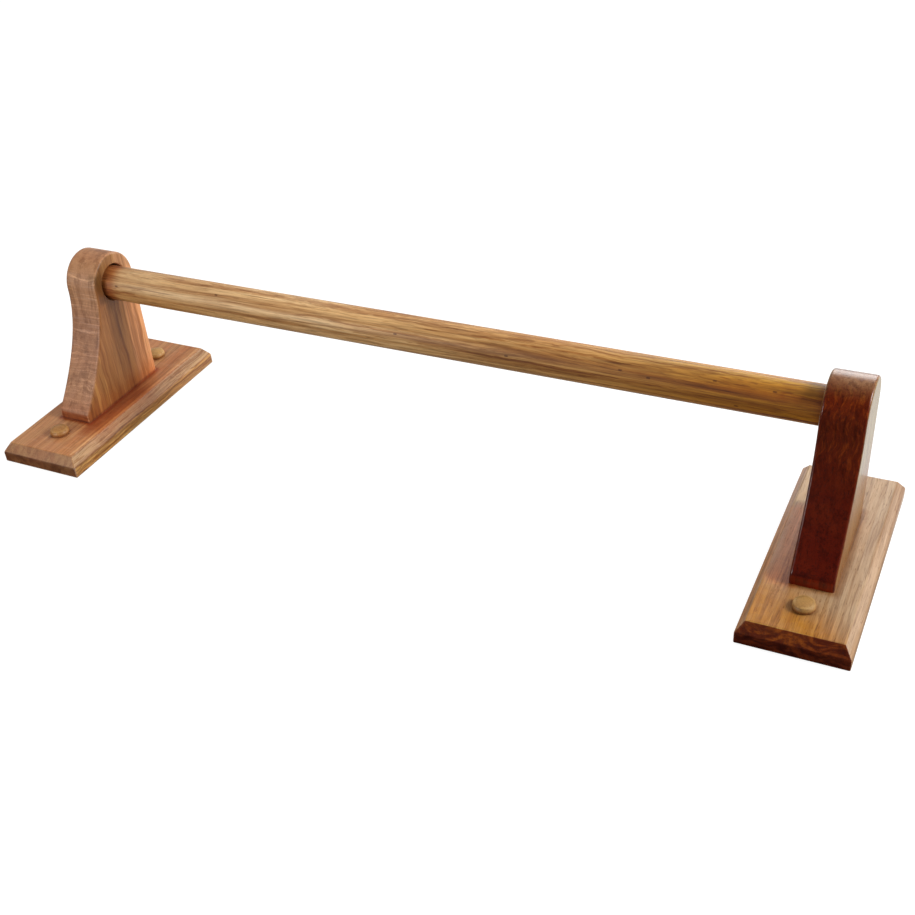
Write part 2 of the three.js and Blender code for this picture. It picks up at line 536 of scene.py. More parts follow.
def noise(tree, place, scale=1.0, detail=2.0, roughness=0.5, distortion=0.0, result="Fac"):
    """Noise about 0.5 that varies with the place."""
    made = tree.nodes.new("ShaderNodeTexNoise")
    feed(tree, made.inputs["Vector"], place)
    feed(tree, made.inputs["Scale"], scale)
    feed(tree, made.inputs["Detail"], detail)
    feed(tree, made.inputs["Roughness"], roughness)
    feed(tree, made.inputs["Distortion"], distortion)
    return made.outputs[result]


def grain_noise(tree, place, waves, detail=1.0, roughness=0.5):
    """Noise whose waves per metre differ along and across the grain."""
    return noise(tree, vectors(tree, "MULTIPLY", place, waves), 1, detail, roughness)


def swayed(tree, place, sway_place, scale, roughness, reach):
    """The place pushed about by up to half the reach, so that lines wander."""
    push = noise(tree, sway_place, scale, 2, roughness, 0, "Color")
    push = vectors(tree, "SUBTRACT", push, (0.5, 0.5, 0.5))
    return vectors(tree, "ADD", place, vectors(tree, "MULTIPLY", push, reach))


def rise(tree, source, low, high):
    """0 below low, 1 above high and a soft rise between them."""
    made = tree.nodes.new("ShaderNodeMapRange")
    made.interpolation_type = "SMOOTHSTEP"
    feed(tree, made.inputs["Value"], source)
    feed(tree, made.inputs["From Min"], low)
    feed(tree, made.inputs["From Max"], high)
    return made.outputs["Result"]


def tint(tree, factor, below, above):
    """One colour over another, as far as the factor goes."""
    made = tree.nodes.new("ShaderNodeMix")
    made.data_type = "RGBA"
    made.clamp_factor = True
    feed(tree, made.inputs[0], factor)
    feed(tree, made.inputs[6], below)
    feed(tree, made.inputs[7], above)
    return made.outputs[2]


def shader_group(name, takes, gives):
    """A node group with named sockets, and its input and output nodes."""
    tree = bpy.data.node_groups.new(name, "ShaderNodeTree")
    for label, kind, default in takes:
        socket = tree.interface.new_socket(label, in_out="INPUT", socket_type=f"NodeSocket{kind}")
        if default is not None:
            socket.default_value = default
    for label, kind in gives:
        tree.interface.new_socket(label, in_out="OUTPUT", socket_type=f"NodeSocket{kind}")
    return tree, tree.nodes.new("NodeGroupInput").outputs, tree.nodes.new("NodeGroupOutput").inputs


def use_group(tree, group, settings):
    """Places a group with its own settings and gives its outputs."""
    made = tree.nodes.new("ShaderNodeGroup")
    made.node_tree = group
    for label, given in settings.items():
        feed(tree, made.inputs[label], given)
    return made.outputs


def colour(red, green, blue):
    """An 8-bit screen colour as the shader's linear one."""
    def linear(part):
        share = part / 255
        return share / 12.92 if share <= 0.04045 else ((share + 0.055) / 1.055) ** 2.4
    return (linear(red), linear(green), linear(blue), 1)


# Oak's figure, in waves per metre: across the grain twice, then along it
RING_WOBBLE = (160, 160, 3)
RING_STRENGTH = (290, 290, 0)
PATCHES = (90, 90, 16)
THREADS = (760, 760, 36)
PORES = (1250, 1250, 150)
FIBRES = (1900, 1900, 60)
RAY_OUT = 26
RAY_ROUND = 14
RAY_ALONG = 420


def oak_group():
    """Oak worked out as a solid, so that the faces, edges and ends of a board agree.
    Its grain runs along Z and its heart lies on the Z axis."""
    tree, given, out = shader_group("oak", [
        ("Vector", "Vector", None),
        ("Normal", "Vector", None),
        ("Late Wood", "Color", None),
        ("Early Wood", "Color", None),
        ("Patch", "Color", None),
        ("Streak", "Color", None),
        ("Pore", "Color", None),
        ("Ray", "Color", None),
        ("Ring Width", "Float", 0.004),
        ("Ring Depth", "Float", 0.7),
        ("Wander", "Float", 0.008),
        ("Streak Scale", "Float", 190.0),
        ("Streak Run", "Float", 9.0),
        ("Patches", "Float", 0.5),
        ("Streaks", "Float", 0.5),
        ("Threads", "Float", 0.5),
        ("Pores", "Float", 0.6),
        ("Rays", "Float", 0.3),
    ], [("Color", "Color"), ("Pore Mask", "Float"), ("Height", "Float")])
    place = given["Vector"]

    # Rings that wander slowly along the grain, each with a strength of its own
    slow = vectors(tree, "MULTIPLY", place, (1, 1, 0.2))
    bent = swayed(tree, place, slow, 28, 0.55, combined(tree, given["Wander"], given["Wander"]))
    flat = vectors(tree, "MULTIPLY", bent, (1, 1, 0))
    radius = length(tree, flat)
    wobble = grain_noise(tree, bent, RING_WOBBLE)
    rings = sums(tree, "MULTIPLY_ADD", wobble, 1.1, sums(tree, "DIVIDE", radius, given["Ring Width"]))
    phase = sums(tree, "FRACT", rings)
    early = sums(tree, "SUBTRACT", 1, rise(tree, phase, 0.05, 0.6))
    early = sums(tree, "MAXIMUM", early, rise(tree, phase, 0.85, 1.0))
    each = grain_noise(tree, flat, RING_STRENGTH)
    early = sums(tree, "MULTIPLY", early, rise(tree, each, 0.34, 0.62))
    early = sums(tree, "MULTIPLY", early, given["Ring Depth"])

    # Patches of another tone, streaks, threads and pores, all drawn out along the grain
    patch = grain_noise(tree, bent, PATCHES, 3, 0.55)
    patch = sums(tree, "MULTIPLY", rise(tree, patch, 0.4, 0.62), given["Patches"])
    streaks = combined(tree, given["Streak Scale"], given["Streak Scale"], given["Streak Run"])
    streak = grain_noise(tree, bent, streaks, 4, 0.62)
    streak = sums(tree, "MULTIPLY", rise(tree, streak, 0.48, 0.62), given["Streaks"])
    thread = grain_noise(tree, bent, THREADS, 3, 0.6)
    thread = sums(tree, "MULTIPLY", rise(tree, thread, 0.5, 0.68), given["Threads"])
    pore = rise(tree, grain_noise(tree, bent, PORES, 2, 0.6), 0.57, 0.66)
    crowd = sums(tree, "MULTIPLY_ADD", early, 0.6, 0.45)
    pore = sums(tree, "MULTIPLY", sums(tree, "MULTIPLY", pore, crowd), given["Pores"])
    fibre = grain_noise(tree, bent, FIBRES, 3, 0.6)

    # Rays: thin sheets that run out from the heart, seen as flecks on faces that lie along them
    parts = tree.nodes.new("ShaderNodeSeparateXYZ")
    tree.links.new(bent, parts.inputs[0])
    across, aside, lengthwise = parts.outputs
    angle = sums(tree, "ARCTAN2", aside, across)
    sheet = combined(
        tree,
        sums(tree, "MULTIPLY", radius, RAY_OUT),
        sums(tree, "MULTIPLY", angle, RAY_ROUND),
        sums(tree, "MULTIPLY", lengthwise, RAY_ALONG),
    )
    ray = rise(tree, noise(tree, sheet, 1, 2, 0.6, 0.15), 0.54, 0.66)
    ray = sums(tree, "MULTIPLY", ray, given["Rays"])
    with_ring = vectors(tree, "CROSS_PRODUCT", vectors(tree, "NORMALIZE", flat), OUT)
    flush = sums(tree, "ABSOLUTE", dot(tree, with_ring, given["Normal"]))
    ray = sums(tree, "MULTIPLY", ray, rise(tree, flush, 0.7, 0.95))

    # The colours one over another, lighter and darker with the fibres
    shade = tint(tree, early, given["Late Wood"], given["Early Wood"])
    shade = tint(tree, patch, shade, given["Patch"])
    shade = tint(tree, streak, shade, given["Streak"])
    shade = tint(tree, thread, shade, given["Pore"])
    grey = tree.nodes.new("ShaderNodeMapRange")
    feed(tree, grey.inputs["Value"], fibre)
    feed(tree, grey.inputs["From Min"], 0.3)
    feed(tree, grey.inputs["From Max"], 0.7)
    feed(tree, grey.inputs["To Min"], 0.8)
    feed(tree, grey.inputs["To Max"], 1.16)
    shade = vectors(tree, "MULTIPLY", shade, grey.outputs["Result"])
    shade = tint(tree, ray, shade, given["Ray"])
    shade = tint(tree, pore, shade, given["Pore"])
    feed(tree, out["Color"], shade)
    feed(tree, out["Pore Mask"], pore)
    dip = sums(tree, "MULTIPLY", pore, -1)
    feed(tree, out["Height"], sums(tree, "MULTIPLY_ADD", fibre, 0.3, dip))
    return tree


def edge_wear_and_highlight_group():
    """Where a piece's edges take the edge tone, worn on most pieces and a painted highlight on the left
    plate: 0 on its faces and 1 along its edges.
    """
    tree, given, out = shader_group("edge_wear_and_painted_highlight", [("Width", "Float", 0.0015)], [("Mask", "Float")])
    rounded = tree.nodes.new("ShaderNodeBevel")
    rounded.samples = 4
    feed(tree, rounded.inputs["Radius"], given["Width"])
    surface = tree.nodes.new("ShaderNodeNewGeometry").outputs["Normal"]
    turn = dot(tree, rounded.outputs[0], surface)
    place = tree.nodes.new("ShaderNodeTexCoord").outputs["Object"]
    patchiness = rise(tree, noise(tree, place, 160, 3, 0.6), 0.3, 0.62)
    edge = sums(tree, "SUBTRACT", 1, rise(tree, turn, 0.86, 0.99))
    feed(tree, out["Mask"], sums(tree, "MULTIPLY", edge, patchiness))
    return tree


def stain_group():
    """Where a stain lies: on faces along one axis, past a height on another, and in patches."""
    tree, given, out = shader_group("stain", [
        ("Place", "Vector", None),
        ("Normal", "Vector", None),
        ("Face Axis", "Vector", None),
        ("Face From", "Float", -2.0),
        ("Face To", "Float", -1.0),
        ("Height Axis", "Vector", None),
        ("Height From", "Float", -2.0),
        ("Height To", "Float", -1.0),
        ("Patchy", "Float", 0.0),
        ("Patch Scale", "Vector", None),
        ("Patch From", "Float", 0.38),
        ("Patch To", "Float", 0.6),
        ("Wander", "Float", 0.0),
    ], [("Mask", "Float")])
    turn = sums(tree, "ABSOLUTE", dot(tree, given["Normal"], given["Face Axis"]))
    faces = rise(tree, turn, given["Face From"], given["Face To"])
    height = dot(tree, given["Place"], given["Height Axis"])
    level = rise(tree, height, given["Height From"], given["Height To"])
    wander = combined(tree, given["Wander"], given["Wander"], given["Wander"])
    bent = swayed(tree, given["Place"], given["Place"], 45, 0.5, wander)
    patches = grain_noise(tree, bent, given["Patch Scale"], 3, 0.6)
    patches = rise(tree, patches, given["Patch From"], given["Patch To"])
    patches = sums(tree, "MULTIPLY_ADD", sums(tree, "SUBTRACT", patches, 1), given["Patchy"], 1)
    feed(tree, out["Mask"], sums(tree, "MULTIPLY", sums(tree, "MULTIPLY", faces, level), patches))
    return tree


def spots_and_painted_light_group():
    """A spot of another tone round a square foot, a line or a point: knots, a dark patch, dark finish
    and painted shade at joints, a painted highlight and painted reflected light. 1 at it and 0 away
    from it.
    """
    tree, given, out = shader_group("spots_and_painted_light_mask", [
        ("Place", "Vector", None),
        ("Centre", "Vector", None),
        ("Half Size", "Vector", None),
        ("Reach", "Float", 0.005),
    ], [("Mask", "Float")])
    away = vectors(tree, "ABSOLUTE", vectors(tree, "SUBTRACT", given["Place"], given["Centre"]))
    away = vectors(tree, "MAXIMUM", vectors(tree, "SUBTRACT", away, given["Half Size"]), ORIGIN)
    away = sums(tree, "DIVIDE", length(tree, away), given["Reach"])
    ragged = sums(tree, "MULTIPLY_ADD", noise(tree, given["Place"], 260, 3, 0.6), 0.9, 0.55)
    away = rise(tree, sums(tree, "MULTIPLY", away, ragged), 0, 1)
    feed(tree, out["Mask"], sums(tree, "SUBTRACT", 1, away))
    return tree


OAK = oak_group()
EDGE_WEAR_AND_HIGHLIGHT = edge_wear_and_highlight_group()
STAIN = stain_group()
SPOTS_AND_PAINTED_LIGHT = spots_and_painted_light_group()

# What all the woods share
EVEN_PATCHES = (130, 130, 130)
EDGE_WEAR_AND_HIGHLIGHT_WIDTH = 0.0018
PORE_DULLNESS = 0.25
GRAIN_RELIEF = 0.35
GRAIN_HEIGHT = 0.0003
RIPPLE_WAVES = 150


def facing(axis, start, full):
    """Settings of a stain: it lies on the faces that look along the axis either way.
    It starts and is full at those cosines of the angle between face and axis."""
    return {"Face Axis": axis, "Face From": start, "Face To": full}


def past(axis, start, full):
    """Settings of a stain: it starts and is full at those distances along the axis."""
    return {"Height Axis": axis, "Height From": start, "Height To": full}


def uneven(share):
    """Settings of a stain: that share of it comes and goes in round patches."""
    return {"Patchy": share}


def in_streaks(waves, start=0.38, full=0.6, wander=0.0):
    """Settings of a stain: it lies in patches or streaks alone, with those waves per metre."""
    streaks = {"Patchy": 1.0, "Patch Scale": waves, "Patch From": start, "Patch To": full}
    return {**streaks, "Wander": wander}


def around(centre, half_size, reach):
    """Settings of a spot: how far it reaches from a flat rectangle, a line or a point."""
    return {"Centre": centre, "Half Size": half_size, "Reach": reach}


def wood(name, centre, turn, heart, look, edge, edge_share, roughness,
         stains=(), spots_and_light=(), gloss=0.12, polish=0.28, shine=0.4, stretch=(1, 1, 1)):
    """A finished board. turn brings its grain to Z, and heart is how its centre lies from the tree's.
    A stain multiplies the colour by its tone where it lies, and so does a spot: a knot, a dark patch,
    painted shade, a painted highlight or painted reflected light."""
    material = bpy.data.materials.new(name)
    material.use_nodes = True
    tree = material.node_tree
    shader = tree.nodes["Principled BSDF"]
    source = tree.nodes.new("ShaderNodeTexCoord")
    mapping = tree.nodes.new("ShaderNodeMapping")
    feed(tree, mapping.inputs["Vector"], source.outputs["Object"])
    mapping.inputs["Location"].default_value = Vector(heart) - Euler(turn).to_matrix() @ Vector(centre)
    mapping.inputs["Rotation"].default_value = turn
    mapping.inputs["Scale"].default_value = stretch
    bearing = tree.nodes.new("ShaderNodeMapping")
    bearing.vector_type = "NORMAL"
    feed(tree, bearing.inputs["Vector"], source.outputs["Normal"])
    bearing.inputs["Rotation"].default_value = turn
    figure = use_group(tree, OAK, {"Vector": mapping.outputs[0], "Normal": bearing.outputs[0], **look})
    shade = figure["Color"]
    where = {"Place": source.outputs["Object"]}
    whole = {**where, "Normal": source.outputs["Normal"], "Patch Scale": EVEN_PATCHES}
    for tone, *settings in stains:
        given = dict(whole)
        for setting in settings:
            given.update(setting)
        reach = use_group(tree, STAIN, given)["Mask"]
        shade = tint(tree, reach, shade, vectors(tree, "MULTIPLY", shade, tone))
    for tone, setting in spots_and_light:
        reach = use_group(tree, SPOTS_AND_PAINTED_LIGHT, {**where, **setting})["Mask"]
        shade = tint(tree, reach, shade, vectors(tree, "MULTIPLY", shade, tone))
    # The edge tone: wear on most boards, a painted highlight on the left plate
    worn_and_lit_edges = use_group(tree, EDGE_WEAR_AND_HIGHLIGHT, {"Width": EDGE_WEAR_AND_HIGHLIGHT_WIDTH})["Mask"]
    shade = tint(tree, sums(tree, "MULTIPLY", worn_and_lit_edges, edge_share), shade, edge)
    feed(tree, shader.inputs["Base Color"], shade)
    dull = sums(tree, "MULTIPLY_ADD", figure["Pore Mask"], PORE_DULLNESS, roughness)
    feed(tree, shader.inputs["Roughness"], dull)
    bump = tree.nodes.new("ShaderNodeBump")
    bump.inputs["Strength"].default_value = GRAIN_RELIEF
    bump.inputs["Distance"].default_value = GRAIN_HEIGHT
    ripple = noise(tree, source.outputs["Object"], RIPPLE_WAVES, 2, 0.5)
    feed(tree, bump.inputs["Height"], sums(tree, "MULTIPLY_ADD", ripple, 0.5, figure["Height"]))
    feed(tree, shader.inputs["Normal"], bump.outputs[0])
    shader.inputs["Specular IOR Level"].default_value = shine
    shader.inputs["Coat Weight"].default_value = gloss
    shader.inputs["Coat Roughness"].default_value = polish
    return material


# The faces that more than one stain of an arm or a plate lies on
ARM_SIDES = facing(ALONG, 0.6, 0.9)
ARM_EDGES = facing(UP, 0.3, 0.7)
ARM_EDGES_STEEP = facing(UP, 0.4, 0.8)
DARK_ARM_EDGES = facing(UP, 0.15, 0.8)
DARK_ARM_EDGES_LOW = facing(UP, 0.1, 0.75)
ARM_STEP = facing(UP, 0.9, 0.98)
PLATE_SIDES = facing(ALONG, 0.8, 0.95)
PLATE_SIDES_AND_BEVELS = facing(ALONG, 0.4, 0.65)
PLATE_ENDS = facing(UP, 0.8, 0.95)
PLATE_ENDS_AND_BEVELS = facing(UP, 0.4, 0.65)

# Where things lie: the boards' centres, the arms' feet, a dark patch before the left socket, spots
# beside the feet that take painted shade and painted reflected light, and a bevel line that takes a
# painted highlight
LEFT = (-BRACKET_X, 0, 0)
RIGHT = (BRACKET_X, 0, 0)
RAIL = (0, RAIL_Y, RAIL_Z)
LEFT_FOOT = (-BRACKET_X, 0, PLATE_THICKNESS)
RIGHT_FOOT = (BRACKET_X, 0, PLATE_THICKNESS)
FOOT_HALF = (ARM_THICKNESS / 2, FOOT, 0)
LEFT_INNER_FACE = -BRACKET_X + ARM_THICKNESS / 2
RIGHT_INNER_FACE = BRACKET_X - ARM_THICKNESS / 2
BEFORE_LEFT_SOCKET = (LEFT_INNER_FACE, HEAD_Y - 0.0168, HEAD_Z + 0.001)
BESIDE_LEFT_FOOT = (LEFT_INNER_FACE + 0.007, -0.018, PLATE_THICKNESS)
BESIDE_RIGHT_FOOT = (RIGHT_INNER_FACE - 0.004, -0.003, PLATE_THICKNESS)
LEFT_BEVEL_LINE = (-BRACKET_X + PLATE_WIDTH / 2 - PLATE_BEVEL, 0, PLATE_THICKNESS)
BEVEL_LINE_HALF = (0, PLATE_LENGTH / 2 - PLATE_BEVEL, 0)

# Pin knots in the rail: their tone, half length and reach, and where they show
KNOT_TONE = (0.3, 0.22, 0.16)
KNOT_HALF = (0.0007, 0, 0)
KNOT_REACH = 0.001
RAIL_KNOTS = [
    (-0.2497, 0.0083, 0.1066),
    (-0.1628, 0.0117, 0.1116),
    (-0.0186, 0.0085, 0.1072),
    (0.0618, 0.0079, 0.1056),
    (0.1379, 0.0094, 0.1089),
    (0.1562, 0.0085, 0.1073),
    (0.1968, 0.0115, 0.1114),
    (0.2113, 0.0080, 0.0988),
    (0.2329, 0.0112, 0.1111),
]

# Painted shade and gathered finish round the foot of the cover buttons
BUTTON_FINISH_AND_SHADE_TONE = (0.3, 0.16, 0.08)
BUTTON_FINISH_AND_SHADE_REACH = 1.5 * BUTTON_RADIUS


def button_finish_and_shade(sign):
    """Painted shade and gathered finish round the foot of the two cover buttons of a plate."""
    spots = [(sign * BRACKET_X, end * BUTTON_Y, PLATE_THICKNESS) for end in ENDS]
    return [(BUTTON_FINISH_AND_SHADE_TONE, around(spot, ORIGIN, BUTTON_FINISH_AND_SHADE_REACH)) for spot in spots]


rail_oak = wood(
    "golden_rail_oak",
    centre=RAIL,
    turn=(0, 0.012 - QUARTER, 0),
    heart=(0.05, 0.03, 0),
    look={
        "Late Wood": colour(242, 204, 150),
        "Early Wood": colour(212, 162, 106),
        "Patch": colour(226, 174, 110),
        "Streak": colour(164, 108, 56),
        "Pore": colour(110, 66, 32),
        "Ray": colour(226, 192, 144),
        "Ring Width": 0.0042,
        "Wander": 0.02,
        "Streak Scale": 250,
        "Streak Run": 12,
        "Streaks": 0.6,
        "Threads": 0.4,
        "Pores": 0.5,
        "Rays": 0.15,
    },
    edge=colour(150, 96, 50),
    edge_share=0.6,
    roughness=0.55,
    gloss=0.05,
    stretch=(0.6, 1, 1),
    spots_and_light=[(KNOT_TONE, around(knot, KNOT_HALF, KNOT_REACH)) for knot in RAIL_KNOTS],
    stains=[
        # Darker and more golden towards the right
        ((0.67, 0.42, 0.05), past(ALONG, -0.15, 0.26)),
        # Darker again near the left arm, in the middle and near the right arm
        ((0.78, 0.72, 0.68), past(LEFTWARD, 0.1, 0.22), uneven(0.2)),
        ((0.95, 0.93, 0.88), past(ALONG, -0.1, 0.0)),
        ((0.92, 0.88, 0.78), past(ALONG, 0.14, 0.2)),
        # Painted shade on the left half's underside, more and more to the left
        ((0.8, 0.68, 0.5), facing((0, -0.93, -0.36), 0.72, 0.95), past(LEFTWARD, 0.0, 0.2)),
        # A painted highlight: the paler top of the right half
        ((1.0, 1.13, 1.5), facing((0, -0.35, 0.94), 0.8, 0.96), past(ALONG, 0.04, 0.17)),
        ((1.08, 1.28, 1.7), facing((0, 0.2, 0.98), 0.76, 0.93), past(ALONG, 0.08, 0.18)),
        # A brown band along the right end's front
        (
            (0.85, 0.68, 0.42),
            facing((0, -0.846, 0.534), 0.95, 0.995),
            past(ALONG, 0.16, 0.25),
            uneven(0.4),
        ),
        # Dark finish and painted shade where the rail enters the right socket
        ((0.6, 0.3, 0.16), past(ALONG, 0.255, 0.263), uneven(0.3)),
        # Long brown streaks on top, all round, and low down on all but the left end
        (
            (0.73, 0.62, 0.54),
            facing((0, 0.1, 0.99), 0.75, 0.95),
            in_streaks((8, 420, 420), 0.46, 0.58, 0.006),
        ),
        ((0.64, 0.5, 0.36), in_streaks((5, 400, 400), 0.54, 0.66, 0.004)),
        (
            (0.62, 0.5, 0.36),
            facing((0, -0.93, 0.36), 0.72, 0.95),
            past(ALONG, -0.22, -0.12),
            in_streaks((9, 260, 260)),
        ),
        # Dark finish and painted shade where the rail enters the left socket
        ((0.6, 0.33, 0.16), past(LEFTWARD, 0.247, 0.2575)),
    ],
)
left_arm_oak = wood(
    "pinkish_arm_oak",
    centre=LEFT,
    turn=ORIGIN,
    heart=(0.09, 0.0, 0),
    look={
        "Late Wood": colour(186, 130, 88),
        "Early Wood": colour(158, 102, 62),
        "Patch": colour(176, 122, 86),
        "Streak": colour(126, 76, 42),
        "Pore": colour(100, 60, 36),
        "Ray": colour(212, 166, 136),
        "Ring Width": 0.007,
        "Ring Depth": 0.6,
        "Streak Scale": 150,
        "Streak Run": 7,
        "Streaks": 0.5,
        "Threads": 0.1,
        "Pores": 0.15,
        "Rays": 0.2,
    },
    edge=colour(196, 146, 110),
    edge_share=0.2,
    roughness=0.5,
    stains=[
        # The sawn edges are pinkish, darker half way up and paler at the head
        ((0.83, 0.87, 0.96), ARM_EDGES),
        ((0.9, 0.84, 0.78), ARM_EDGES, past(OUT, 0.04, 0.055)),
        ((1.3, 1.44, 1.5), ARM_EDGES, past(OUT, 0.075, 0.1)),
        # Pale flecks across the edges
        ((1.4, 1.5, 1.6), ARM_EDGES_STEEP, in_streaks((14, 14, 480), 0.56, 0.64, 0.012)),
        ((1.26, 1.3, 1.36), ARM_EDGES_STEEP, in_streaks((11, 11, 720), 0.54, 0.62, 0.006)),
        # The sides: lighter than the wood and duller at the crown, and lightest at the back, where
        # light is painted beside the rail's shadow
        ((0.76, 0.86, 0.94), ARM_SIDES, past(OUT, 0.1, 0.112)),
        ((1.34, 1.34, 1.3), ARM_SIDES),
        ((1.22, 1.2, 1.12), ARM_SIDES, past((0, 1, 0.1), 0.024, 0.03)),
        # A brown strip along the sides' front: darker wood, deepened by painted shade where the rail's
        # shadow falls
        ((0.64, 0.57, 0.37), ARM_SIDES, past((0, -1, 0.04), -0.0225, -0.019)),
        # Pale, dark and broad streaks along the sides
        (
            (1.2, 1.32, 1.3),
            ARM_SIDES,
            past((0, -1, -0.26), -0.018, -0.004),
            in_streaks((60, 240, 6), 0.48, 0.6, 0.006),
        ),
        ((0.7, 0.6, 0.45), ARM_SIDES, in_streaks((60, 330, 7), 0.54, 0.64, 0.005)),
        ((0.8, 0.73, 0.62), ARM_SIDES, in_streaks((40, 130, 6), 0.46, 0.58, 0.008)),
        # Darker on the foot step, and painted shade along the foot where it meets the plate
        ((0.63, 0.4, 0.22), ARM_STEP, past(INWARD, -0.024, -0.021)),
        ((0.87, 0.65, 0.49), past(INWARD, -0.036, -0.015), uneven(0.3)),
        ((0.6, 0.4, 0.3), past(INWARD, -0.0175, -0.0152)),
    ],
    spots_and_light=[
        ((0.5, 0.46, 0.34), around(BEFORE_LEFT_SOCKET, (0.004, 0.001, 0.009), 0.005)),
    ],
)
right_arm_oak = wood(
    "dark_arm_oak",
    centre=RIGHT,
    turn=ORIGIN,
    heart=(0.06, 0.05, 0),
    look={
        "Late Wood": colour(172, 122, 78),
        "Early Wood": colour(146, 94, 54),
        "Patch": colour(150, 88, 46),
        "Streak": colour(112, 62, 28),
        "Pore": colour(70, 34, 14),
        "Ray": colour(190, 140, 96),
        "Ring Width": 0.005,
        "Ring Depth": 0.5,
        "Streaks": 0.5,
        "Threads": 0.3,
        "Rays": 0.2,
    },
    edge=colour(140, 82, 44),
    edge_share=0.2,
    roughness=0.36,
    gloss=0.62,
    polish=0.27,
    shine=0.1,
    stains=[
        # Olive sides, with a painted reflection that makes them paler upwards, most of all the outer
        # one
        ((0.72, 0.74, 0.58), ARM_SIDES),
        ((0.95, 1.35, 1.3), ARM_SIDES, past((0.7, 0, 0.7), 0.235, 0.262)),
        # Dark red-brown edges, partly the wood's colour and partly painted shade, far deeper on all but
        # the straight upper one
        ((0.64, 0.46, 0.34), DARK_ARM_EDGES),
        ((0.59, 0.196, 0.06), DARK_ARM_EDGES, past((0, -1, 0), -0.9 * FOOT, -0.7 * FOOT)),
        # The crown, and then the edges further down in two steps
        ((0.62, 0.6, 0.62), facing(OUT, 0.5, 0.95), past(OUT, 0.1, 0.115)),
        ((0.7, 0.46, 0.4), DARK_ARM_EDGES_LOW, past(INWARD, -0.095, -0.06), uneven(0.3)),
        ((0.9, 0.68, 0.5), DARK_ARM_EDGES_LOW, past(INWARD, -0.06, -0.035)),
        # The step shows a little lighter
        ((1.9, 1.9, 1.2), ARM_STEP, past(INWARD, -0.0235, -0.021)),
        # Golden flames on the head and the neck
        (
            (1.6, 2.3, 1.5),
            facing(UP, 0.3, 0.8),
            past((0, -0.7, 0.7), 0.05, 0.066),
            in_streaks((760, 60, 130), 0.5, 0.62, 0.016),
        ),
    ],
)
left_plate_oak = wood(
    "reddish_plate_oak",
    centre=LEFT,
    turn=(QUARTER, 0, 0),
    heart=(0.07, 0.05, 0),
    look={
        "Late Wood": colour(192, 137, 88),
        "Early Wood": colour(165, 107, 63),
        "Patch": colour(182, 112, 69),
        "Streak": colour(142, 84, 46),
        "Pore": colour(104, 60, 34),
        "Ray": colour(206, 162, 128),
        "Ring Width": 0.0052,
        "Streaks": 0.4,
        "Threads": 0.2,
        "Pores": 0.4,
        "Rays": 0.15,
    },
    # Pale edges: a painted highlight along the arrises
    edge=colour(238, 204, 182),
    edge_share=0.75,
    roughness=0.46,
    spots_and_light=[
        # Painted shade, with dark finish in the joint, round the foot of the arm
        ((0.66, 0.3, 0.1), around(LEFT_FOOT, FOOT_HALF, 0.0045)),
        # Painted shade beside the foot, on the rail's side
        ((0.74, 0.5, 0.34), around(BESIDE_LEFT_FOOT, (0.003, 0.026, 0), 0.018)),
        # A painted highlight along the top of the right-hand bevel
        ((1.5, 1.95, 2.4), around(LEFT_BEVEL_LINE, BEVEL_LINE_HALF, 0.0018)),
        # Painted shade and gathered finish round the buttons
        *button_finish_and_shade(-1),
    ],
    stains=[
        # Dark end grain with browner end bevels
        ((0.41, 0.3, 0.235), PLATE_ENDS, uneven(0.3)),
        ((0.68, 0.67, 0.6), PLATE_ENDS_AND_BEVELS),
        # Paler side bevels, partly a painted highlight, over golden sides, both streaked
        ((0.94, 1.14, 1.3), PLATE_SIDES_AND_BEVELS),
        ((0.9, 0.86, 0.64), PLATE_SIDES),
        ((0.66, 0.52, 0.36), facing(ALONG, 0.4, 0.6), in_streaks((620, 9, 620), 0.52, 0.62, 0.004)),
        ((1.4, 1.42, 1.3), PLATE_SIDES, in_streaks((500, 8, 560), 0.48, 0.58, 0.004)),
        # Painted shade and painted red light reflected from the arm on the strip beside its inner face
        ((0.97, 0.83, 0.7), facing(OUT, 0.9, 0.98), past(ALONG, -0.264, -0.258), uneven(0.3)),
    ],
)
